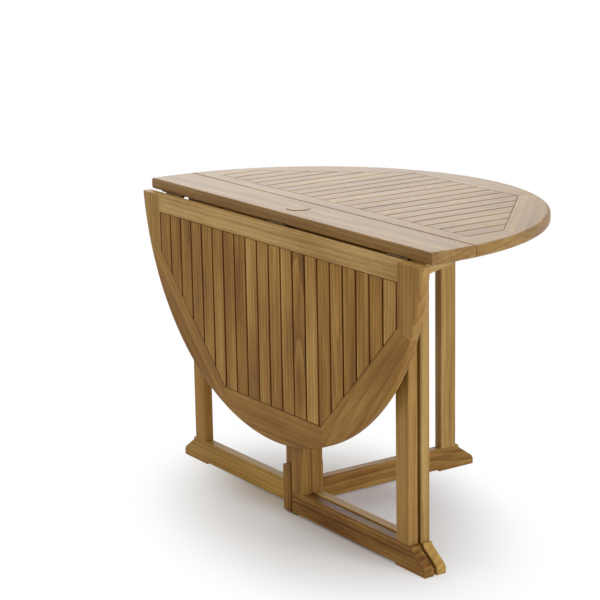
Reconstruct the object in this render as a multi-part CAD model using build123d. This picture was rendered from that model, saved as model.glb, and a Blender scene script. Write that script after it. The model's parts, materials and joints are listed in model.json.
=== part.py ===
from build123d import *
import os
from math import cos, radians, sin, tan

# Round gateleg garden table in teak, in millimetres, +Z up.
# It stands as in use with one leaf down: the near leaf (-Y) hangs with its gate folded flat,
# and the far leaf (+Y) is up on its opened gate.

# Table top
table_diameter = 1200
table_height = 760
top_thickness = 28
rim_round = 8
arris_round = 3
centre_board_width = 120
leaf_seam = 1.5
joint_line = 0.3

# Slatted leaves: eight-sided frame boards round a panel of loose slats
hinge_rail_width = 44.5
rim_board_width = 90
octagon_half_angle = 22.5
slat_count = 20
slat_gap = 4
slat_end_gap = 0.8
slat_thickness = 16
slat_chamfer = 1.2
tongue_length = 8
tongue_thickness = 6
tongue_clearance = 0.2

# Battens under the slats, the outer one where the gate's leg carries it
batten_width = 40
batten_round = 2
inner_batten_offset = 70
batten_end_margin = 18

# Butt hinges, three to a leaf
hinge_length = 76
hinge_inset = 84
hinge_drop = 1.5
knuckle_radius = 4.5
knuckle_recess = 0.4
knuckle_count = 5
knuckle_gap = 0.3
hinge_pin_radius = 2.25
pin_clearance = 0.05
plate_thickness = 2.2
plate_clearance = 0.4
plate_pin_gap = 1.35
hinge_screw_margin = 12

# Parasol hole and its plug
plug_radius = 30
plug_cap_thickness = 12
plug_proud = 1.5
parasol_hole_radius = 24
plug_clearance = 0.3
plug_round = 1.2

# Fixed frame and gates
member_thickness = 26
leg_width = 48
leg_inset = 108
stile_width = 50
layer_gap = 8
post_width = 28
post_outer = 56
member_round = 2
base_rail_top = 62
floor_gap = 5
top_rail_depth = 60
gate_clearance = 0.3
knuckle_room = 1.2
gate_batten_room = 16

# Shaped feet
toe_reach = 60
foot_pad_length = 112
foot_top_length = 10
cove_radius = 12
foot_slope = 35
toe_radius = 18
toe_bottom_round = 4

# Mortise and tenon joints
tenon_thickness = 10
tenon_shoulder = 8
tenon_length = 40
rail_tenon_length = 26
tenon_clearance = 0.15
tenon_end_gap = 1

# Gate pivots
pivot_x = 30
pivot_pin_radius = 4
pivot_running = 0.08
upper_pin_socket = 18
upper_pin_depth = 40
lower_pin_depth = 46
pivot_end_gap = 1
pivot_plate_thickness = 3.5
pivot_plate_width = 22
pivot_plate_gap = 0.3
pivot_block_width = 31
pivot_block_height = 116
pivot_swing_room = 0.6
pivot_head_radius = 7
pivot_head_height = 1.8

# Dowels between the pivot blocks and the base rail
dowel_radius = 4
dowel_clearance = 0.05
dowel_end_gap = 1
dowel_block_depth = 18
dowel_rail_depth = 10
dowel_spacing = 26

# End bearers under the centre board, tapered from one side of it to the other
bearer_width = 40
bearer_deep_end = 29.5
bearer_thin_end = 5
bearer_side_margin = 9
bearer_gap = 6
bearer_screw_seat = 7

# Countersunk screws
screw_clearance = 0.06
screw_tip_gap = 1
small_screw_radius = 1.8
small_screw_head = 3.5
small_screw_length = 16
batten_screw_length = 32
bearer_screw_radius = 2.4
bearer_screw_head = 4.6
bearer_screw_length = 26
rail_screw_length = 62
rail_screw_sink = 16
plate_screw_margin = 9
rail_screw_spacing = 200
bearer_screw_spacing = 60

# Levels and lines that the pieces share
table_radius = table_diameter / 2
underside = table_height - top_thickness
leaf_edge = centre_board_width / 2 + leaf_seam
hinge_y = centre_board_width / 2 + leaf_seam / 2
hinge_z = underside - hinge_drop
panel_half = table_radius - rim_board_width
panel_near = leaf_edge + hinge_rail_width
corner_slope = tan(radians(octagon_half_angle))
slat_width = (2 * panel_half - (slat_count + 1) * slat_gap) / slat_count
slat_bottom = table_height - slat_thickness
tongue_bottom = slat_bottom + (slat_thickness - tongue_thickness) / 2
batten_bottom = hinge_z - knuckle_radius - knuckle_room + gate_clearance
gate_top = batten_bottom - gate_clearance
half_member = member_thickness / 2
gate_y = member_thickness + layer_gap
plate_start = knuckle_radius + plate_clearance
plate_width = hinge_y - plate_start - gate_y - pivot_pin_radius - plate_pin_gap
leg_outer = table_radius - leg_inset
leg_inner = leg_outer - leg_width
post_inner = post_outer - post_width
toe_x = leg_outer + toe_reach
stile_inner = pivot_x - half_member
stile_outer = stile_inner + stile_width
hinge_end = table_radius - hinge_inset
hinge_offset = hinge_end - hinge_length / 2
hinge_places = [-hinge_offset, 0, hinge_offset]
hanging_face = hinge_y + hinge_drop + top_thickness
footprint_middle = (table_radius - hanging_face) / 2


# Plain shapes
def block(x0, x1, y0, y1, z0, z1):
    middle = Pos((x0 + x1) / 2, (y0 + y1) / 2, (z0 + z1) / 2)
    return middle * Box(x1 - x0, y1 - y0, z1 - z0)


def prism(points, z0, z1):
    outline = make_face(Polyline(*points, close=True))
    return extrude(Pos(0, 0, z0) * outline, z1 - z0)


def rounded_block(x0, x1, y0, y1, z0, z1, along, radius):
    body = block(x0, x1, y0, y1, z0, z1)
    return fillet(body.edges().filter_by(along), radius)


def drilled(body, tools):
    for tool in tools:
        body = body - tool
    return body


# Countersunk screws stand on their heads at z = 0 and point up
def screw(length, shank, head):
    sink = head - shank
    cone = Pos(0, 0, sink / 2) * Cone(head, shank, sink)
    return cone + Pos(0, 0, length / 2) * Cylinder(shank, length)


def screw_space(length, shank, head):
    return screw(length + screw_tip_gap, shank + screw_clearance, head + screw_clearance)


# Round table top blank with its rounded rim
def rounded_disc():
    disc = extrude(Pos(0, 0, underside) * Circle(table_radius), top_thickness)
    return fillet(disc.edges().filter_by(GeomType.CIRCLE), rim_round)


top_disc = rounded_disc()


# One hinge half: the knuckle axis is X through the origin, the plate lies towards +Y
def hinge_half(own_knuckles):
    pitch = hinge_length / knuckle_count
    plate_top = hinge_drop
    plate_bottom = hinge_drop - plate_thickness
    half = block(-hinge_length / 2, hinge_length / 2, plate_start, plate_start + plate_width,
                 plate_bottom, plate_top)
    for index in own_knuckles:
        x0 = -hinge_length / 2 + index * pitch + knuckle_gap / 2
        x1 = x0 + pitch - knuckle_gap
        barrel = Pos((x0 + x1) / 2, 0, 0) * Rot(0, 90, 0) * Cylinder(knuckle_radius, x1 - x0)
        half = half + barrel + block(x0, x1, 0, plate_start, plate_bottom, plate_top)
    bore = Rot(0, 90, 0) * Cylinder(hinge_pin_radius + pin_clearance, 2 * hinge_length)
    holes = [Pos(x, y, z) * screw_space(small_screw_length, small_screw_radius, small_screw_head)
             for x, y, z in plate_screw_places()]
    return drilled(half - bore, holes)


def plate_screw_places():
    y = plate_start + plate_width / 2
    z = hinge_drop - plate_thickness
    spacing = hinge_length / 2 - hinge_screw_margin
    return [(-spacing, y, z), (0, y, z), (spacing, y, z)]


def hinge_sites(angle):
    return [Pos(x, hinge_y, hinge_z) * Rot(0, 0, angle) for x in hinge_places]


def plate_screws(sites, make):
    return [site * Pos(*place) * make(small_screw_length, small_screw_radius, small_screw_head)
            for site in sites for place in plate_screw_places()]


outer_knuckles = range(0, knuckle_count, 2)
inner_knuckles = range(1, knuckle_count, 2)
fixed_sites = hinge_sites(180)
leaf_sites = hinge_sites(0)
fixed_plates = [site * hinge_half(outer_knuckles) for site in fixed_sites]
leaf_plates = [site * hinge_half(inner_knuckles) for site in leaf_sites]


def hinge_rods(radius, length):
    return [Pos(x, hinge_y, hinge_z) * Rot(0, 90, 0) * Cylinder(radius, length) for x in hinge_places]


hinge_pins = hinge_rods(hinge_pin_radius, hinge_length)
knuckle_spaces = hinge_rods(knuckle_radius + knuckle_recess, hinge_length + 2 * knuckle_recess)


# Leaf, modelled flat on the far side
def leaf_blank():
    blank = block(-table_radius, table_radius, leaf_edge, table_radius, underside, table_height)
    hinge_arrises = blank.edges().filter_by(Axis.X).group_by(Axis.Y)[0]
    return drilled(fillet(hinge_arrises, arris_round) & top_disc, knuckle_spaces)


def panel_outline(grow):
    reach = panel_half + grow
    corner = reach * corner_slope
    near = panel_near - grow
    return [(-reach, near), (reach, near), (reach, corner), (corner, reach),
            (-corner, reach), (-reach, corner)]


def rim_board(blank, groove, angle):
    inner = panel_half
    outer = 2 * table_radius
    wedge = [(inner, -inner * corner_slope), (outer, -outer * corner_slope),
             (outer, outer * corner_slope), (inner, inner * corner_slope)]
    outline = offset(make_face(Polyline(*wedge, close=True)), -joint_line / 2, kind=Kind.INTERSECTION)
    cutter = extrude(Pos(0, 0, underside) * Rot(0, 0, angle) * outline, top_thickness)
    return (blank & cutter) - groove


def slat_middle(index):
    return (index - (slat_count - 1) / 2) * (slat_width + slat_gap)


def slat(index):
    x0 = slat_middle(index) - slat_width / 2
    x1 = slat_middle(index) + slat_width / 2
    face_strip = block(x0, x1, 0, table_radius, slat_bottom, table_height)
    body = face_strip & prism(panel_outline(-slat_end_gap), slat_bottom, table_height)
    body = chamfer(body.faces().sort_by(Axis.Z)[-1].edges(), slat_chamfer)
    tongue_top = tongue_bottom + tongue_thickness
    tongue_strip = block(x0, x1, 0, table_radius, tongue_bottom, tongue_top)
    tongue = tongue_strip & prism(panel_outline(tongue_length), tongue_bottom, tongue_top)
    return body + tongue


def batten(half_length, y):
    return rounded_block(-half_length, half_length, y - batten_width / 2, y + batten_width / 2,
                         batten_bottom, slat_bottom, Axis.X, batten_round)


def batten_screw_places(half_length, y):
    reach = half_length - slat_width / 2
    middles = [slat_middle(index) for index in range(slat_count)]
    return [(x, y, batten_bottom) for x in middles if abs(x) < reach]


inner_batten_y = panel_near + inner_batten_offset
inner_batten_half = leg_inner - gate_batten_room
outer_batten_y = gate_y - pivot_x + (leg_inner + leg_outer) / 2
outer_batten_edge = outer_batten_y + batten_width / 2
outer_batten_half = panel_half * (1 + corner_slope) - outer_batten_edge - batten_end_margin
blank = leaf_blank()
groove = prism(panel_outline(tongue_length + tongue_clearance), tongue_bottom - tongue_clearance,
               tongue_bottom + tongue_thickness + tongue_clearance)
rail_prism = block(-panel_half + joint_line / 2, panel_half - joint_line / 2, 0, panel_near,
                   underside, table_height)
leaf_plate_holes = plate_screws(leaf_sites, screw_space)
inner_batten_places = batten_screw_places(inner_batten_half, inner_batten_y)
outer_batten_places = batten_screw_places(outer_batten_half, outer_batten_y)
batten_places = inner_batten_places + outer_batten_places


def batten_holes(places):
    return [Pos(*place) * screw_space(batten_screw_length, small_screw_radius, small_screw_head)
            for place in places]


def slat_holes(index):
    return batten_holes([place for place in batten_places if place[0] == slat_middle(index)])


slats = [drilled(slat(index), slat_holes(index)) for index in range(slat_count)]
leaf_pieces = {
    "hinge_rail": [drilled((blank & rail_prism) - groove, leaf_plate_holes)],
    "right_end_board": [rim_board(blank, groove, 0)],
    "right_diagonal_board": [rim_board(blank, groove, 2 * octagon_half_angle)],
    "outer_board": [rim_board(blank, groove, 4 * octagon_half_angle)],
    "left_diagonal_board": [rim_board(blank, groove, 6 * octagon_half_angle)],
    "left_end_board": [rim_board(blank, groove, 8 * octagon_half_angle)],
    "slats": slats,
    "inner_batten": [drilled(batten(inner_batten_half, inner_batten_y), batten_holes(inner_batten_places))],
    "outer_batten": [drilled(batten(outer_batten_half, outer_batten_y), batten_holes(outer_batten_places))],
    "batten_screws": [Pos(*place) * screw(batten_screw_length, small_screw_radius, small_screw_head)
                      for place in batten_places],
    "hinge_plates": leaf_plates,
    "hinge_screws": plate_screws(leaf_sites, screw),
}


# Feet: flat top beside the leg, cove, straight slope, round toe, flat pad on the floor
def foot_half_rail(x_start):
    cove_x = leg_outer + foot_top_length + cove_radius
    cove_turn = 90 - foot_slope
    cove_end = Vector(cove_x - cove_radius * cos(radians(cove_turn)),
                      base_rail_top - cove_radius * sin(radians(cove_turn)))
    toe_middle_x = toe_x - toe_radius
    slope_end_x = toe_middle_x + toe_radius * cos(radians(cove_turn))
    slope_end_z = cove_end.Y - (slope_end_x - cove_end.X) * tan(radians(foot_slope))
    toe_middle_z = slope_end_z - toe_radius * sin(radians(cove_turn))
    pad_inner = toe_x - foot_pad_length
    outline = [
        Polyline((x_start, floor_gap), (x_start, base_rail_top),
                 (leg_outer + foot_top_length, base_rail_top)),
        CenterArc((cove_x, base_rail_top), cove_radius, 180, cove_turn),
        Line(cove_end, (slope_end_x, slope_end_z)),
        CenterArc((toe_middle_x, toe_middle_z), toe_radius, cove_turn, -cove_turn),
        Line((toe_x, toe_middle_z), (toe_x, toe_bottom_round)),
        CenterArc((toe_x - toe_bottom_round, toe_bottom_round), toe_bottom_round, 0, -90),
        Line((toe_x - toe_bottom_round, 0), (pad_inner, 0)),
        CenterArc((pad_inner - floor_gap, 0), floor_gap, 0, 90),
        Line((pad_inner - floor_gap, floor_gap), (x_start, floor_gap)),
    ]
    return make_face(sum(outline, Curve()))


def rail_solid(profile):
    body = Rot(90, 0, 0) * extrude(profile, half_member, both=True)
    sides = body.faces().filter_by(Axis.Y)
    return fillet(sides.edges(), member_round)


# Upright with a tenon at either end, standing between z0 and z1
def upright(x0, x1, y, z0, z1, low_tenon, high_tenon):
    body = rounded_block(x0, x1, y - half_member, y + half_member, z0, z1, Axis.Z, member_round)
    return body + tenon(x0, x1, y, z0 - low_tenon, z1 + high_tenon, 0)


def tenon(x0, x1, y, z0, z1, room):
    half = tenon_thickness / 2 + room
    return block(x0 + tenon_shoulder - room, x1 - tenon_shoulder + room, y - half, y + half, z0, z1)


def mortise(x0, x1, y, z0, z1):
    return tenon(x0, x1, y, z0, z1, tenon_clearance)


# Fixed frame
top_rail_bottom = underside - top_rail_depth
mortise_low = base_rail_top - tenon_length - tenon_end_gap
mortise_high = top_rail_bottom + tenon_length + tenon_end_gap
frame_uprights = {
    "frame_left_leg": (-leg_outer, -leg_inner),
    "frame_right_leg": (leg_inner, leg_outer),
    "frame_left_centre_post": (-post_outer, -post_inner),
    "frame_right_centre_post": (post_inner, post_outer),
}
top_rails = {
    "frame_left_top_rail": (-leg_outer, -post_inner),
    "frame_right_top_rail": (post_inner, leg_outer),
}
half_profile = foot_half_rail(0)
base_rail = rail_solid(half_profile + mirror(half_profile, Plane.YZ))
for x0, x1 in frame_uprights.values():
    base_rail = base_rail - mortise(x0, x1, 0, mortise_low, base_rail_top)

# Top rail screws go up into the centre board from sunk holes
rail_screw_z = top_rail_bottom + rail_screw_sink
rail_screw_places = [(side * (rail_screw_spacing * step + rail_screw_spacing / 2), 0, rail_screw_z)
                     for side in (-1, 1) for step in (0, 1)]
rail_screw_holes = [Pos(*place) * screw_space(rail_screw_length, bearer_screw_radius, bearer_screw_head)
                    for place in rail_screw_places]


def screw_wells(places, depth):
    radius = bearer_screw_head + screw_clearance
    return [Pos(x, y, z - depth / 2) * Cylinder(radius, depth) for x, y, z in places]


rail_screw_wells = screw_wells(rail_screw_places, rail_screw_sink)


# The top rail stops at the centre posts on either side, so that a pole can pass between them
def top_rail(x0, x1):
    body = rounded_block(x0, x1, -half_member, half_member, top_rail_bottom, underside,
                         Axis.X, member_round)
    sockets = [mortise(*ends, 0, top_rail_bottom, mortise_high) for ends in frame_uprights.values()]
    return drilled(body, sockets + rail_screw_holes + rail_screw_wells)


# End bearers keep the centre board flat beyond the hinges
bearer_x = max(hinge_end, leg_outer) + bearer_gap + bearer_width / 2
bearer_half = centre_board_width / 2 - bearer_side_margin
bearer_screw_z = underside - bearer_screw_seat
bearer_screw_places = [(side * bearer_x, end * bearer_screw_spacing / 2, bearer_screw_z)
                       for side in (-1, 1) for end in (-1, 1)]
bearer_screw_holes = [Pos(*place) * screw_space(bearer_screw_length, bearer_screw_radius, bearer_screw_head)
                      for place in bearer_screw_places]


# The right bearer is deep on the near side; its screw heads lie in wells that reach a level seat
def end_bearer():
    outline = Polyline((-bearer_half, underside), (-bearer_half, underside - bearer_deep_end),
                       (bearer_half, underside - bearer_thin_end), (bearer_half, underside), close=True)
    body = extrude(Plane.YZ * make_face(outline), bearer_width)
    wells = screw_wells(bearer_screw_places, bearer_deep_end)
    return drilled(Pos(bearer_x - bearer_width / 2, 0, 0) * body, bearer_screw_holes + wells)


# Gate pivots: a pin up into the centre board and a pin from a plate under a fixed block
pivot_plate_top = floor_gap - pivot_plate_gap
pivot_plate_bottom = pivot_plate_top - pivot_plate_thickness
corner_swing = half_member * 2 ** 0.5 + pivot_swing_room
block_right = pivot_x - corner_swing
block_left = block_right - pivot_block_width
upper_pin_top = underside + upper_pin_socket
upper_pin_low = gate_top - upper_pin_depth
lower_pin_top = floor_gap + lower_pin_depth
pivot_hole = pivot_pin_radius + pivot_running


def upright_pin(radius, z0, z1):
    return Pos(pivot_x, -gate_y, (z0 + z1) / 2) * Cylinder(radius, z1 - z0)


plate_screw_x = [block_left + plate_screw_margin, block_right - plate_screw_margin]
pivot_plate_screw_places = [(x, -gate_y, pivot_plate_bottom) for x in plate_screw_x]
dowel_x = (block_left + block_right) / 2
dowel_z = (pivot_plate_top + base_rail_top) / 2
dowel_places = [Pos(dowel_x, -half_member, dowel_z + side * dowel_spacing / 2) * Rot(90, 0, 0)
                for side in (-1, 1)]


def dowel(room, end_gap):
    length = dowel_block_depth + dowel_rail_depth + 2 * end_gap
    return Pos(0, 0, (dowel_block_depth - dowel_rail_depth) / 2) * Cylinder(dowel_radius + room, length)


dowels = [place * dowel(0, 0) for place in dowel_places]
dowel_holes = [place * dowel(dowel_clearance, dowel_end_gap) for place in dowel_places]
pivot_plate_holes = [Pos(*place) * screw_space(small_screw_length, small_screw_radius, small_screw_head)
                     for place in pivot_plate_screw_places]


def pivot_block():
    body = rounded_block(block_left, block_right, -gate_y - half_member, -half_member, pivot_plate_top,
                         pivot_plate_top + pivot_block_height, Axis.Z, member_round)
    return drilled(body, dowel_holes + pivot_plate_holes)


def pivot_plate():
    half = pivot_plate_width / 2
    middle_z = (pivot_plate_bottom + pivot_plate_top) / 2
    ends = (block_left + half, pivot_x)
    bar = block(*ends, -gate_y - half, -gate_y + half, pivot_plate_bottom, pivot_plate_top)
    for x in ends:
        bar = bar + Pos(x, -gate_y, middle_z) * Cylinder(half, pivot_plate_thickness)
    head_space = upright_pin(pivot_head_radius + pin_clearance, pivot_plate_bottom,
                             pivot_plate_bottom + pivot_head_height)
    shank_space = upright_pin(pivot_pin_radius + pin_clearance, pivot_plate_bottom, pivot_plate_top)
    return drilled(bar - head_space - shank_space, pivot_plate_holes)


def lower_pin():
    head = upright_pin(pivot_head_radius, pivot_plate_bottom, pivot_plate_bottom + pivot_head_height)
    return head + upright_pin(pivot_pin_radius, pivot_plate_bottom, lower_pin_top)


# Gate, modelled folded against the near side of the fixed frame
gate_uprights = {"stile": (stile_inner, stile_outer), "leg": (leg_inner, leg_outer)}
gate_rail_bottom = gate_top - top_rail_depth


def gate_rail_tenons(room):
    half = tenon_thickness / 2 + room
    reach = rail_tenon_length + (tenon_end_gap if room else 0)
    return block(stile_outer - reach, leg_inner + reach, -gate_y - half, -gate_y + half,
                 gate_rail_bottom + tenon_shoulder - room, gate_top - tenon_shoulder + room)


def gate_upright(x0, x1):
    body = upright(x0, x1, -gate_y, base_rail_top, gate_top, tenon_length, 0)
    return body - gate_rail_tenons(tenon_clearance)


def gate_base_rail():
    rail = Pos(0, -gate_y, 0) * rail_solid(foot_half_rail(stile_inner))
    for x0, x1 in gate_uprights.values():
        rail = rail - mortise(x0, x1, -gate_y, mortise_low, base_rail_top)
    return rail


lower_pin_space = upright_pin(pivot_hole, 0, lower_pin_top + pivot_end_gap)
upper_pin_space = upright_pin(pivot_pin_radius + pin_clearance, upper_pin_low, gate_top)
gate_rail = rounded_block(stile_outer, leg_inner, -gate_y - half_member, -gate_y + half_member,
                          gate_rail_bottom, gate_top, Axis.X, member_round) + gate_rail_tenons(0)
gate_pieces = {
    "stile": [gate_upright(*gate_uprights["stile"]) - lower_pin_space - upper_pin_space],
    "leg": [gate_upright(*gate_uprights["leg"])],
    "base_rail": [gate_base_rail() - lower_pin_space],
    "top_rail": [gate_rail],
    "upper_pin": [upright_pin(pivot_pin_radius, upper_pin_low, upper_pin_top)],
}

# Centre board with its parasol hole, pivot sockets and screw holes
half_turn = Rot(0, 0, 180)
fixed_hinge_cuts = plate_screws(fixed_sites, screw_space) + knuckle_spaces
pivot_socket = upright_pin(pivot_hole, underside, upper_pin_top + pivot_end_gap)
plug_seat = table_height + plug_proud - plug_cap_thickness
hole_through = Pos(0, 0, underside) * Cylinder(parasol_hole_radius, 2 * top_thickness)
hole_seat = Pos(0, 0, plug_seat + plug_cap_thickness) * Cylinder(plug_radius, 2 * plug_cap_thickness)
board_blank = rounded_block(-table_radius, table_radius, -centre_board_width / 2, centre_board_width / 2,
                            underside, table_height, Axis.X, arris_round)
centre_board = drilled((board_blank & top_disc) - hole_through - hole_seat,
                       fixed_hinge_cuts + [half_turn * hole for hole in fixed_hinge_cuts]
                       + [pivot_socket, half_turn * pivot_socket]
                       + rail_screw_holes + bearer_screw_holes)
cap_radius = plug_radius - plug_clearance
stem_radius = parasol_hole_radius - plug_clearance
cap = Pos(0, 0, plug_seat + plug_cap_thickness / 2) * Cylinder(cap_radius, plug_cap_thickness)
cap = fillet(cap.edges().filter_by(GeomType.CIRCLE).sort_by(Axis.Z)[-1], plug_round)
stem = Pos(0, 0, (underside + plug_seat) / 2) * Cylinder(stem_radius, plug_seat - underside)
parasol_plug = cap + stem

# Node names and the solids in them
near_hinge_line = Axis((0, -hinge_y, hinge_z), (1, 0, 0))
far_pivot_line = Axis((-pivot_x, gate_y, 0), (0, 0, 1))


def turned(pieces):
    return [half_turn * piece for piece in pieces]


# A half turn takes a left piece to the right
def turned_name(name):
    hand, other = ("left", "right") if name.startswith("left") else ("right", "left")
    return other + name.removeprefix(hand) if name.startswith(hand) else name


nodes = {
    "centre_board": [centre_board],
    "parasol_plug": [parasol_plug],
    "left_end_bearer": [half_turn * end_bearer()],
    "right_end_bearer": [end_bearer()],
    "end_bearer_screws": [Pos(*place) * screw(bearer_screw_length, bearer_screw_radius, bearer_screw_head)
                          for place in bearer_screw_places],
    "frame_top_rail_screws": [Pos(*place) * screw(rail_screw_length, bearer_screw_radius, bearer_screw_head)
                              for place in rail_screw_places],
    "near_pivot_block": [pivot_block()],
    "near_pivot_plate": [pivot_plate()],
    "near_hinge_fixed_plates": turned(fixed_plates),
    "far_hinge_fixed_plates": fixed_plates,
    "near_hinge_pins": turned(hinge_pins),
    "far_hinge_pins": hinge_pins,
}
for name, ends in top_rails.items():
    nodes[name] = [top_rail(*ends)]
for name, (x0, x1) in frame_uprights.items():
    nodes[name] = [upright(x0, x1, 0, base_rail_top, top_rail_bottom, tenon_length, tenon_length)]
under_plate_screws = [Pos(*place) * screw(small_screw_length, small_screw_radius, small_screw_head)
                      for place in pivot_plate_screw_places]
fixed_plate_screws = plate_screws(fixed_sites, screw)
base_rail = drilled(base_rail, dowel_holes + turned(dowel_holes))
nodes["frame_base_rail"] = [base_rail]
nodes["far_pivot_block"] = turned(nodes["near_pivot_block"])
nodes["far_pivot_plate"] = turned(nodes["near_pivot_plate"])
nodes["pivot_block_dowels"] = dowels + turned(dowels)
nodes["pivot_plate_screws"] = under_plate_screws + turned(under_plate_screws)
nodes["lower_pivot_pins"] = [lower_pin(), half_turn * lower_pin()]
nodes["fixed_hinge_screws"] = fixed_plate_screws + turned(fixed_plate_screws)
for name, pieces in leaf_pieces.items():
    nodes["far_leaf_" + name] = pieces
    hanging = [piece.rotate(near_hinge_line, 90) for piece in turned(pieces)]
    nodes["near_leaf_" + turned_name(name)] = hanging
for name, pieces in gate_pieces.items():
    nodes["near_gate_" + name] = pieces
    nodes["far_gate_" + name] = [piece.rotate(far_pivot_line, -90) for piece in turned(pieces)]

# The origin is the middle of the footprint on the floor
to_footprint = Pos(0, -footprint_middle, 0)
os.makedirs("parts", exist_ok=True)
for name, pieces in nodes.items():
    placed = [to_footprint * solid for piece in pieces for solid in piece.solids()]
    shape = placed[0] if len(placed) == 1 else Compound(children=placed)
    export_step(shape, "parts/" + name + ".step")
print(len(nodes), "nodes, slat width", round(slat_width, 2), "gate top", gate_top)
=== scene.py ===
# %% [markdown]
# # A round gateleg table in teak
# The table stands with one leaf hanging and the other raised on its open gate. All its pieces
# have true sizes already, so this lesson loads them, gives every board a teak of its own with the
# grain running the way the joiner cut it, finishes the metal, and sets up the studio.

# %% Load the table
import bpy
import json
from math import cos, radians, sin
from mathutils import Matrix, Vector

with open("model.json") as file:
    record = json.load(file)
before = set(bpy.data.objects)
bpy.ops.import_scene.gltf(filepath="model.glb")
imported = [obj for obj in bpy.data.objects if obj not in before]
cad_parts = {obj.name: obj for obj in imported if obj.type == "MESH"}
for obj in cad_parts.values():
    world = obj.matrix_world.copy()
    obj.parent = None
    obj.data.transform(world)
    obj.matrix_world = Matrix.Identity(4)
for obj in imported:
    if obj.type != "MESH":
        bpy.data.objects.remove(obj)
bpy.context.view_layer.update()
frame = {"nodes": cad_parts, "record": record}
bpy.ops.object.select_all(action="DESELECT")

# %% [markdown]
# ## The colours of teak
# Oiled teak is a golden brown with darker lines where the tree grew slowly, and paler streaks
# between them. A colour ramp holds that family of browns. The colours are those of the wood under
# white light, because the lamps and not the paint should make the shadows.

# %% Browns of the wood
DARK_LINE = (0.150, 0.058, 0.011)
BROWN = (0.290, 0.140, 0.031)
HONEY = (0.410, 0.224, 0.058)
PALE_STREAK = (0.560, 0.350, 0.120)
TEAK_BROWNS = [(0.15, DARK_LINE), (0.42, BROWN), (0.62, HONEY), (0.88, PALE_STREAK)]
print(len(TEAK_BROWNS), "browns from the dark line to the pale streak")

# %% [markdown]
# ## Helpers for material nodes
# A material is a small network. A few short helpers keep it readable. One adds a node and sets its
# inputs, where a value that is itself a socket is linked. Some nodes have several inputs of the same
# name, so an input called i0, i1 and so on is found by its place. The others do arithmetic on
# numbers and on vectors.

# %% Node helpers
def input_socket(node, name):
    if name[0] == "i" and name[1:].isdigit():
        return node.inputs[int(name[1:])]
    return node.inputs[name.replace("_", " ")]


def add(tree, kind, settings=None, **inputs):
    made = tree.nodes.new("ShaderNode" + kind)
    for name, value in (settings or {}).items():
        setattr(made, name, value)
    for name, value in inputs.items():
        socket = input_socket(made, name)
        if isinstance(value, bpy.types.NodeSocket):
            tree.links.new(value, socket)
        else:
            socket.default_value = value
    return made


def arithmetic(tree, operation, *values):
    inputs = {"i" + str(place): value for place, value in enumerate(values)}
    return add(tree, "Math", {"operation": operation}, **inputs).outputs[0]


def vector_arithmetic(tree, operation, first, second):
    return add(tree, "VectorMath", {"operation": operation}, i0=first, i1=second).outputs[0]


print("helpers ready")

# %% [markdown]
# ## Along the grain
# Every pattern in wood is long one way and short the other two. So the first step turns a piece's
# coordinates until the grain lies along X, and shifts them to a place of its own in an endless log,
# so that no two boards show the same figure. Slats share one mesh, so each finds its number
# from where it lies across the leaf, and that number picks its place in the log.

# %% Coordinates in the log
SLAT_PITCH = 0.0508
SLAT_SCATTER = (9.0, 0.30, 0.30)


def log_coordinates(tree, turn, place):
    here = add(tree, "TexCoord").outputs["Object"]
    turned = add(tree, "Mapping", Vector=here, Rotation=[radians(angle) for angle in turn], Location=place)
    return turned.outputs[0]


def slat_choice(tree, first_number):
    here = add(tree, "TexCoord").outputs["Object"]
    across = add(tree, "SeparateXYZ", Vector=here).outputs["X"]
    number = arithmetic(tree, "FLOOR", arithmetic(tree, "DIVIDE", across, SLAT_PITCH))
    number = arithmetic(tree, "ADD", number, first_number)
    return add(tree, "TexWhiteNoise", {"noise_dimensions": "1D"}, W=number)


def slat_coordinates(tree, spot, choice):
    shift = vector_arithmetic(tree, "MULTIPLY", choice.outputs["Color"], SLAT_SCATTER)
    return vector_arithmetic(tree, "ADD", spot, shift)


print("slats are told apart every", SLAT_PITCH * 1000, "mm")

# %% [markdown]
# ## The figure of the wood
# A few layers make the figure. Growth rings are circles about the heart of the log, which a flat
# sawn face cuts into long arches. Streaks and patches are broad and soft. Fibres are hair fine, and
# among them lie the short dark pores that a finger can feel. Each layer is a noise with so many
# changes in a metre along the grain, so many across it, and a level of detail. A wave texture turns
# through 20 radians in one unit, and the ring scale allows for that.

# %% Growth rings, streaks and fibres
BENDS = (1.1, 4.0, 1.0)
STREAKS = (1.3, 60.0, 3.0)
SLAT_STREAKS = (2.2, 30.0, 3.0)
PATCHES = (2.4, 11.0, 2.0)
FIBRES = (20.0, 800.0, 2.0)
PORES = (60.0, 1500.0, 1.0)
NOISE_ROUGHNESS = 0.55
RING_SPACING = 0.012
ONE_RING_IN_A_METRE = 0.314
RING_STRETCH = (0.05, 1.0, 1.0)
RING_DRIFT_Y, RING_DRIFT_Z = 0.09, 0.05


def stretched_noise(tree, spot, layer):
    along, across, detail = layer
    thin = vector_arithmetic(tree, "MULTIPLY", spot, (along, across, across))
    noise = add(tree, "TexNoise", Vector=thin, Scale=1.0, Detail=detail, Roughness=NOISE_ROUGHNESS)
    return noise.outputs["Fac"]


def growth_rings(tree, spot):
    bend = stretched_noise(tree, spot, BENDS)
    drift = add(tree, "CombineXYZ", Y=arithmetic(tree, "MULTIPLY", bend, RING_DRIFT_Y),
                Z=arithmetic(tree, "MULTIPLY", bend, RING_DRIFT_Z)).outputs[0]
    slow = vector_arithmetic(tree, "MULTIPLY", vector_arithmetic(tree, "ADD", spot, drift), RING_STRETCH)
    rings = add(tree, "TexWave", {"wave_type": "RINGS", "rings_direction": "X", "wave_profile": "SAW"},
                Vector=slow, Scale=ONE_RING_IN_A_METRE / RING_SPACING, Distortion=3.0, Detail=3.0,
                Detail_Scale=0.6, Detail_Roughness=0.6)
    return rings.outputs["Fac"]


print("rings every", RING_SPACING * 1000, "mm")

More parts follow.
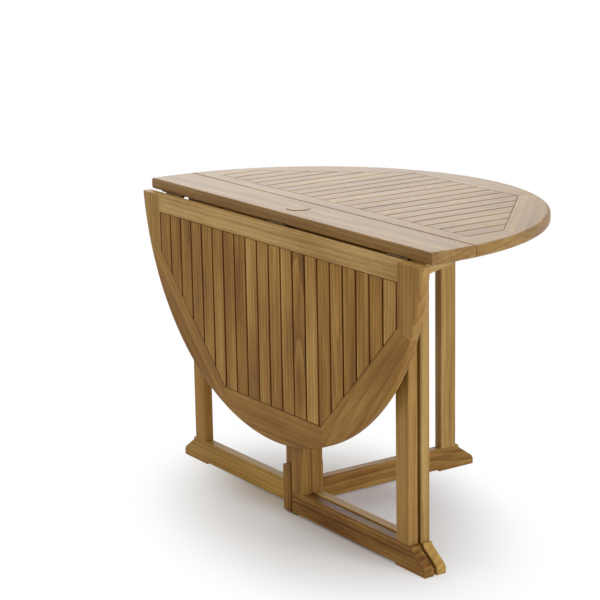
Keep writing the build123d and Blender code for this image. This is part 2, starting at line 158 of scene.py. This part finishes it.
# %% [markdown]
# ## Adding up the layers
# Each layer has its share in how pale the wood is at a spot. The sum runs through the ramp of browns.
# Some boards show their figure more strongly than others, so the sum is spread about its middle.

# %% The sum of the layers
RING_SHARE = 0.16
STREAK_SHARE = 0.46
PATCH_SHARE = 0.62
FIBRE_SHARE = 0.40
FIGURE_SHIFT = 0.285
MIDDLE_BROWN = 0.52


def figure(tree, spot, streaks, fibres, contrast):
    total = arithmetic(tree, "MULTIPLY", streaks, STREAK_SHARE)
    total = arithmetic(tree, "MULTIPLY_ADD", growth_rings(tree, spot), RING_SHARE, total)
    total = arithmetic(tree, "MULTIPLY_ADD", stretched_noise(tree, spot, PATCHES), PATCH_SHARE, total)
    total = arithmetic(tree, "SUBTRACT", total, FIGURE_SHIFT)
    total = arithmetic(tree, "MULTIPLY_ADD", fibres, FIBRE_SHARE, total)
    return arithmetic(tree, "MULTIPLY_ADD", total, contrast, MIDDLE_BROWN * (1.0 - contrast))


print("the middle of the figure is", MIDDLE_BROWN)

# %% [markdown]
# ## Helpers for colours
# A colour ramp turns the figure, a number, into a brown, and its stops are set from a list of places
# and colours. A second helper lays one colour over another, as a stain lies over wood.

# %% Colour helpers
def blend_colours(tree, kind, amount, first, second):
    mixed = add(tree, "Mix", {"data_type": "RGBA", "blend_type": kind}, i0=amount, i6=first, i7=second)
    return mixed.outputs[2]


def steps(tree, value, *stops):
    ramp = add(tree, "ValToRGB", Fac=value)
    knots = ramp.color_ramp.elements
    while len(knots) < len(stops):
        knots.new(0.5)
    for knot, (place, colour) in zip(knots, stops):
        knot.position = place
        knot.color = (*colour, 1.0) if isinstance(colour, tuple) else (colour, colour, colour, 1.0)
    return ramp.outputs["Color"]


print("colour helpers ready")

# %% [markdown]
# ## Wear
# Arrises are rubbed a little paler by hands and sandpaper: a second, rounded normal differs from
# the true one only near an edge, and that difference is the rubbed part. In the gaps between the
# slats of the hanging leaf shade is painted: whatever doesn't face the front is painted darker.

# %% Rubbed edges and painted shade in the joints
EDGE_WIDTH = 0.003
RUBBED_STOPS = [(0.02, 0.0), (0.25, 1.0)]
# The colour of the painted shade in the gaps between the slats.
PAINTED_GAP_SHADE = (0.52, 0.33, 0.20)
NO_SHADE = (1.0, 1.0, 1.0)
PAINTED_GAP_STOPS = [(0.75, PAINTED_GAP_SHADE), (0.90, NO_SHADE)]


def rubbed_edges(tree):
    rounded = add(tree, "Bevel", {"samples": 6}, Radius=EDGE_WIDTH).outputs["Normal"]
    true = add(tree, "NewGeometry").outputs["Normal"]
    facing = add(tree, "VectorMath", {"operation": "DOT_PRODUCT"}, i0=rounded, i1=true).outputs["Value"]
    return steps(tree, arithmetic(tree, "SUBTRACT", 1.0, facing), *RUBBED_STOPS)


# Painted shade: faces that don't face the front, the slats' sides and ends in the gaps, are painted darker.
def joint_shade(tree):
    outward = add(tree, "TexCoord").outputs["Normal"]
    facing = arithmetic(tree, "ABSOLUTE", add(tree, "SeparateXYZ", Vector=outward).outputs["Y"])
    return steps(tree, facing, *PAINTED_GAP_STOPS)


print("edges rubbed over", EDGE_WIDTH * 1000, "mm")

# %% [markdown]
# ## Gloss and relief
# Oiled teak is never smooth. Fibres stand up a little, pores are tiny furrows, and the soft streaks
# drink more oil and shine less. The layers of the figure drive roughness and bump as well, so what
# looks like grain also catches the light like grain.

# %% Gloss and relief
PLAIN_ROUGHNESS = 0.30
STREAK_ROUGHNESS = 0.10
FIBRE_ROUGHNESS = 0.20
PORE_RELIEF = 0.6
RELIEF_STRENGTH = 0.22
RELIEF_HEIGHT = 0.0005


def gloss_and_relief(tree, surface, streaks, fibres, pores):
    gloss = arithmetic(tree, "MULTIPLY_ADD", streaks, STREAK_ROUGHNESS, PLAIN_ROUGHNESS)
    gloss = arithmetic(tree, "MULTIPLY_ADD", fibres, FIBRE_ROUGHNESS, gloss)
    tree.links.new(gloss, surface.inputs["Roughness"])
    relief = arithmetic(tree, "ADD", fibres, arithmetic(tree, "MULTIPLY", pores, PORE_RELIEF))
    bump = add(tree, "Bump", Strength=RELIEF_STRENGTH, Distance=RELIEF_HEIGHT, Height=relief)
    tree.links.new(bump.outputs["Normal"], surface.inputs["Normal"])


print("relief up to", RELIEF_HEIGHT * 1000, "mm")

# %% [markdown]
# ## One teak for each board
# The figure is coloured by the browns and tinted with the tone of the one board, because boards from
# different trees never match. Slats get a shade each. The top has stood in the sun and has a dry,
# pale bloom, which a thin coat gives: it shows where light skims the top, and hardly elsewhere.

# %% The teak
SLAT_SHADES = [(0.0, (0.86, 0.78, 0.62)), (0.3, (0.98, 0.94, 0.84)),
               (0.7, (1.06, 1.05, 1.03)), (1.0, (1.18, 1.22, 1.26))]
DRY_SLAT_SHADE = 0.6
PORE_DEPTH = 0.5
PORE_STOPS = [(0.30, 0.62), (0.42, 1.0)]
RUBBED_PALE = (0.9, 0.78, 0.6, 1.0)
RUBBED_SHARE = 0.06
OILED_IOR = 1.20
DRY_BLOOM = 0.35
BLOOM_ROUGHNESS = 0.45


def new_finish(name):
    finish = bpy.data.materials.new(name)
    finish.use_nodes = True
    return finish, finish.node_tree, finish.node_tree.nodes["Principled BSDF"]


def teak(name, turn, place, tone, dry, contrast, first_slat=None):
    wood, tree, surface = new_finish(name)
    spot = log_coordinates(tree, turn, place)
    slats = first_slat is not None
    if slats:
        choice = slat_choice(tree, first_slat)
        spot = slat_coordinates(tree, spot, choice)
    streaks = stretched_noise(tree, spot, SLAT_STREAKS if slats else STREAKS)
    fibres = stretched_noise(tree, spot, FIBRES)
    colour = steps(tree, figure(tree, spot, streaks, fibres, contrast), *TEAK_BROWNS)
    pores = steps(tree, stretched_noise(tree, spot, PORES), *PORE_STOPS)
    colour = blend_colours(tree, "MULTIPLY", PORE_DEPTH, colour, pores)
    colour = blend_colours(tree, "MULTIPLY", 1.0, colour, (*tone, 1.0))
    if slats:
        shade = steps(tree, choice.outputs["Value"], *SLAT_SHADES)
        colour = blend_colours(tree, "MULTIPLY", DRY_SLAT_SHADE if dry else 1.0, colour, shade)
    # Painted shade in the gaps, on the hanging leaf only; the top's slats get none.
    if slats and not dry:
        colour = blend_colours(tree, "MULTIPLY", 1.0, colour, joint_shade(tree))
    rubbed = arithmetic(tree, "MULTIPLY", rubbed_edges(tree), RUBBED_SHARE)
    colour = blend_colours(tree, "SCREEN", rubbed, colour, RUBBED_PALE)
    tree.links.new(colour, surface.inputs["Base Color"])
    gloss_and_relief(tree, surface, streaks, fibres, pores)
    surface.inputs["IOR"].default_value = OILED_IOR
    surface.inputs["Coat Weight"].default_value = DRY_BLOOM if dry else 0.0
    surface.inputs["Coat Roughness"].default_value = BLOOM_ROUGHNESS
    return wood


print("teak ready")

# %% [markdown]
# ## Metal
# The hinges, pins and pivot plates are brass, dulled by weather to a dark brown. The wood screws
# are stainless steel. Both get fine scratches in the gloss and darker stain where it gathers.

# %% Brass and steel
SCRATCHES = (300.0, 3000.0, 2.0)
SCRATCH_ROUGHNESS = 0.25
SCRATCH_STRENGTH = 0.1
SCRATCH_DEPTH = 0.0001
STAIN_SCALE = 160.0
STAIN_DETAIL = 4.0


def worn_metal(name, bright, dull, roughness):
    metal, tree, surface = new_finish(name)
    here = add(tree, "TexCoord").outputs["Object"]
    stain = add(tree, "TexNoise", Vector=here, Scale=STAIN_SCALE, Detail=STAIN_DETAIL).outputs["Fac"]
    tree.links.new(steps(tree, stain, (0.35, dull), (0.62, bright)), surface.inputs["Base Color"])
    scratches = stretched_noise(tree, here, SCRATCHES)
    gloss = arithmetic(tree, "MULTIPLY_ADD", scratches, SCRATCH_ROUGHNESS, roughness)
    tree.links.new(gloss, surface.inputs["Roughness"])
    bump = add(tree, "Bump", Strength=SCRATCH_STRENGTH, Distance=SCRATCH_DEPTH, Height=scratches)
    tree.links.new(bump.outputs["Normal"], surface.inputs["Normal"])
    surface.inputs["Metallic"].default_value = 1.0
    return metal


brass = worn_metal("dulled_brass", bright=(0.12, 0.078, 0.036), dull=(0.055, 0.035, 0.016),
                   roughness=0.55)
steel = worn_metal("stainless_screw_steel", bright=(0.58, 0.57, 0.55), dull=(0.36, 0.35, 0.33),
                   roughness=0.25)
print("made", brass.name, "and", steel.name)

# %% [markdown]
# ## Which way each board was cut
# A board's grain runs along its length. The turns below bring that direction to X: nothing for a
# board along X, a quarter turn about Z for one along Y, a quarter turn about Y for one that stands,
# and an eighth for the slanting rim boards, which lie in the floor's plane on the raised leaf and
# stand upright on the hanging one.

# %% Grain turns
ALONG_X = (0, 0, 0)
ALONG_Y = (0, 0, -90)
UPRIGHT = (0, 90, 0)
SLANT_LEFT_FLAT = (0, 0, -45)
SLANT_RIGHT_FLAT = (0, 0, 45)
SLANT_LEFT_HUNG = (0, -45, 0)
SLANT_RIGHT_HUNG = (0, 45, 0)
grain_turns = {
    "near_leaf_slats": UPRIGHT, "far_leaf_slats": ALONG_Y,
    "near_leaf_left_end_board": UPRIGHT, "near_leaf_right_end_board": UPRIGHT,
    "far_leaf_left_end_board": ALONG_Y, "far_leaf_right_end_board": ALONG_Y,
    "near_leaf_left_diagonal_board": SLANT_LEFT_HUNG, "near_leaf_right_diagonal_board": SLANT_RIGHT_HUNG,
    "far_leaf_left_diagonal_board": SLANT_LEFT_FLAT, "far_leaf_right_diagonal_board": SLANT_RIGHT_FLAT,
    "left_end_bearer": ALONG_Y, "right_end_bearer": ALONG_Y,
    "far_gate_base_rail": ALONG_Y, "far_gate_top_rail": ALONG_Y,
}
for name in frame["nodes"]:
    if name.endswith(("_leg", "_post", "_stile", "_block")):
        grain_turns[name] = UPRIGHT
print(len(grain_turns), "pieces with the grain away from X")

# %% [markdown]
# ## Tones
# Boards of one table are sorted only roughly for colour. The top's boards are painted darker than the
# rest, as painted shade against the strong lamp overhead, and a few pieces stand out in tone or in the
# strength of their figure, partly through painted light as said below.

# %% Tones of the boards
PLAIN_TONE = (1.0, 1.0, 1.0)
# Painted shade: the top's boards are painted darker to offset the strong lamp over the table.
TOP_PAINTED_SHADE_TONE = (0.81, 0.83, 0.82)
# Partly painted light: the much paler and bluer tones, such as those of the far gate leg, the frame's right
# leg and the hanging leaf's hinge rail, paint in the whitish sheen of the cool lamp on their sides, and the
# darker tones of the low pivot block, base rail and stile paint the shade near the floor; the rest is each
# board's own tone.
tones_with_painted_light = {
    "near_pivot_block": (0.80, 0.74, 0.66), "near_gate_base_rail": (0.78, 0.73, 0.66),
    "near_gate_stile": (0.88, 0.84, 0.78), "frame_right_leg": (1.10, 1.24, 1.45),
    "far_gate_leg": (1.38, 1.60, 2.00), "frame_base_rail": (1.30, 1.44, 1.42),
    "frame_left_leg": (1.14, 1.10, 1.06), "near_leaf_hinge_rail": (1.44, 1.74, 2.60),
    "near_gate_leg": (1.0, 1.03, 1.06), "right_end_bearer": (1.50, 1.85, 2.60),
    "near_leaf_outer_board": (0.96, 0.94, 0.94), "near_leaf_left_end_board": (1.24, 1.38, 1.70),
    "near_leaf_right_end_board": (1.12, 1.19, 1.38),
}
contrasts = {
    "near_leaf_slats": 1.5, "near_gate_base_rail": 1.9, "far_gate_base_rail": 1.5, "near_pivot_block": 1.4,
}
print(len(tones_with_painted_light), "boards with a tone of their own")

# %% [markdown]
# ## Finishing every piece
# Every teak piece gets its own material, with its own tone and its own place in the log. The place
# moves on along the log from piece to piece, and its distance from the heart goes round in two short
# cycles, so that rings of every curve turn up.

# %% Give every piece its finish
LOG_STEP = 3.7
HEART_Y, HEART_STEP_Y, HEART_CYCLE_Y = 0.05, 0.031, 7
HEART_Z, HEART_STEP_Z, HEART_CYCLE_Z = 0.03, 0.023, 5
SLAT_NUMBERS_APART = 40


def place_in_log(order):
    sideways = HEART_Y + HEART_STEP_Y * (order % HEART_CYCLE_Y)
    upwards = HEART_Z + HEART_STEP_Z * (order % HEART_CYCLE_Z)
    return (order * LOG_STEP, sideways, upwards)


record_slots = {entry["node"]: entry["material_slot"] for entry in frame["record"]["subparts"]}
count = {"teak": 0, "brass": 0, "stainless_steel": 0}
for order, (name, piece) in enumerate(sorted(frame["nodes"].items())):
    slot = record_slots[name]
    count[slot] += 1
    if slot == "teak":
        dry = name.startswith("far_leaf") or name in ("centre_board", "parasol_plug")
        tone = tones_with_painted_light.get(name, TOP_PAINTED_SHADE_TONE if dry else PLAIN_TONE)
        first_slat = order * SLAT_NUMBERS_APART if name.endswith("_slats") else None
        finish = teak("teak_" + name, grain_turns.get(name, ALONG_X), place_in_log(order), tone, dry,
                      contrasts.get(name, 1.0), first_slat)
    else:
        finish = brass if slot == "brass" else steel
    piece.data.materials.clear()
    piece.data.materials.append(finish)
print("pieces finished:", count)

# %% [markdown]
# ## The white room
# For the camera and for reflections the room is plain white, while the light that falls on the wood
# is a mild and slightly warm one. The kind of ray tells the two apart.

# %% White room
WORLD_LIGHT = 0.22
WARM_AIR = (1.0, 0.95, 0.84, 1.0)
WHITE = (1.0, 1.0, 1.0, 1.0)


def seen_directly(tree):
    ray = add(tree, "LightPath")
    mirrored = arithmetic(tree, "MAXIMUM", ray.outputs["Is Glossy Ray"], ray.outputs["Is Transmission Ray"])
    return arithmetic(tree, "MAXIMUM", ray.outputs["Is Camera Ray"], mirrored)


world = bpy.data.worlds.new("white_room")
bpy.context.scene.world = world
world.use_nodes = True
air = world.node_tree
air.nodes.clear()
seen = seen_directly(air)
level = arithmetic(air, "MULTIPLY_ADD", seen, 1.0 - WORLD_LIGHT, WORLD_LIGHT)
room = add(air, "Background", Color=blend_colours(air, "MIX", seen, WARM_AIR, WHITE), Strength=level)
air.links.new(room.outputs[0], add(air, "OutputWorld").inputs["Surface"])
print("world light", WORLD_LIGHT)

# %% [markdown]
# ## The pale floor
# The floor carries the table's soft shadow and runs on into the white room. Near the table it is matt
# paint with a faint painted white glow, and further out the camera sees more and more painted white
# glow of its own, so that no edge shows. That painted light follows an oval that lies under the table
# and a little to its front, so the oval as well as the lamps sets how far the shadow reaches.

# %% Pale floor
FLOOR_SIZE = 40.0
FLOOR_PAINT = (0.91, 0.895, 0.865, 1.0)
SHADOW_MIDDLE = (0.06, -0.22, 0.0)
SHADOW_TURN = radians(-16)
SHADOW_REACH = (0.78, 0.49, 1.0)
SHADOW_CORE = 0.34
CORE_WHITE = 0.07

bpy.ops.object.select_all(action="DESELECT")
bpy.ops.mesh.primitive_plane_add(size=FLOOR_SIZE, location=(0.0, 0.0, 0.0))
floor = bpy.context.object
floor.name = "pale_floor"
paint, tree, matt = new_finish("floor_paint")
matt.inputs["Base Color"].default_value = FLOOR_PAINT
matt.inputs["Roughness"].default_value = 0.7
matt.inputs["Specular IOR Level"].default_value = 0.2
here = add(tree, "Mapping", {"vector_type": "TEXTURE"}, Vector=add(tree, "TexCoord").outputs["Object"],
           Location=SHADOW_MIDDLE, Rotation=(0.0, 0.0, SHADOW_TURN), Scale=SHADOW_REACH)
away = add(tree, "VectorMath", {"operation": "LENGTH"}, i0=here.outputs[0])
painted_glow_fade = add(tree, "MapRange", {"interpolation_type": "SMOOTHSTEP"}, Value=away.outputs["Value"],
           From_Min=SHADOW_CORE, From_Max=1.0, To_Min=CORE_WHITE, To_Max=1.0)
# Painted light: the floor glows white for the camera, least inside the oval round the table.
painted_floor_glow = add(tree, "Emission", Color=WHITE, Strength=1.0)
share = arithmetic(tree, "MULTIPLY", seen_directly(tree), painted_glow_fade.outputs[0])
both = add(tree, "MixShader", i0=share, i1=matt.outputs[0], i2=painted_floor_glow.outputs[0])
tree.links.new(both.outputs[0], tree.nodes["Material Output"].inputs["Surface"])
floor.data.materials.append(paint)
print("floor", tuple(floor.dimensions))

# %% [markdown]
# ## Soft lamps
# A wide lamp hangs over the table, a cool one to the right lights the sides of the legs, and a warm
# one at the front lights the hanging leaf. One far behind skims the top, and the dry bloom throws
# its light towards the camera, which is why the raised leaf looks so pale from here.

# %% Lamps
COOL = (1.0, 1.08, 1.32)
WARM = (1.0, 0.97, 0.86)
SKY = (0.95, 1.0, 1.03)
PLAIN = (1.0, 1.0, 1.0)


def soft_lamp(name, place, target, size, power, colour):
    bpy.ops.object.light_add(type="AREA", location=place)
    lamp = bpy.context.object
    lamp.name = name
    lamp.data.shape = "RECTANGLE"
    lamp.data.size, lamp.data.size_y = size
    lamp.data.energy = power
    lamp.data.color = colour
    lamp.rotation_euler = (Vector(target) - Vector(place)).to_track_quat("-Z", "Y").to_euler()
    return lamp


lamps = [
    soft_lamp("over_table", place=(0.2, 0.2, 3.2), target=(0.0, 0.0, 0.4),
              size=(3.6, 3.6), power=36.0, colour=PLAIN),
    soft_lamp("right_side", place=(3.6, 0.2, 1.6), target=(0.0, -0.1, 0.4),
              size=(2.2, 2.2), power=64.0, colour=COOL),
    soft_lamp("front_left", place=(-1.8, -4.2, 2.2), target=(0.0, -0.2, 0.4),
              size=(2.4, 2.0), power=45.0, colour=WARM),
    soft_lamp("behind", place=(-4.0, 1.6, 1.95), target=(0.0, 0.0, 0.76),
              size=(4.0, 2.0), power=55.0, colour=SKY),
]
print(len(lamps), "soft lamps")

# %% [markdown]
# ## The camera
# The photograph was taken from the right of the hanging leaf, a little above the top, with a
# long lens. Its place, turn and focal length were worked out from the round top, the panel's
# eight sides, the legs and the feet, so the frame is the photograph's own.

# %% Camera
CAMERA_PLACE = (3.7731, -2.802275, 1.6419)
YAW, PITCH, ROLL = 0.977, 0.2388, -0.0181
SENSOR_WIDTH = 36.0
FOCAL_LENGTH = 115.908

ahead = Vector((-sin(YAW), cos(YAW), 0.0))
right = Vector((cos(YAW), sin(YAW), 0.0))
up = Vector((0.0, 0.0, 1.0))
view = ahead * cos(PITCH) - up * sin(PITCH)
tall = up * cos(PITCH) + ahead * sin(PITCH)
side = right * cos(ROLL) + tall * sin(ROLL)
crown = tall * cos(ROLL) - right * sin(ROLL)
bpy.ops.object.camera_add(location=CAMERA_PLACE)
camera = bpy.context.object
camera.rotation_euler = Matrix((side, crown, -view)).transposed().to_euler()
camera.data.sensor_width = SENSOR_WIDTH
camera.data.lens = FOCAL_LENGTH
bpy.context.scene.camera = camera
bpy.context.scene.view_settings.view_transform = "Standard"
print("camera", [round(value, 3) for value in camera.location], "lens", camera.data.lens)
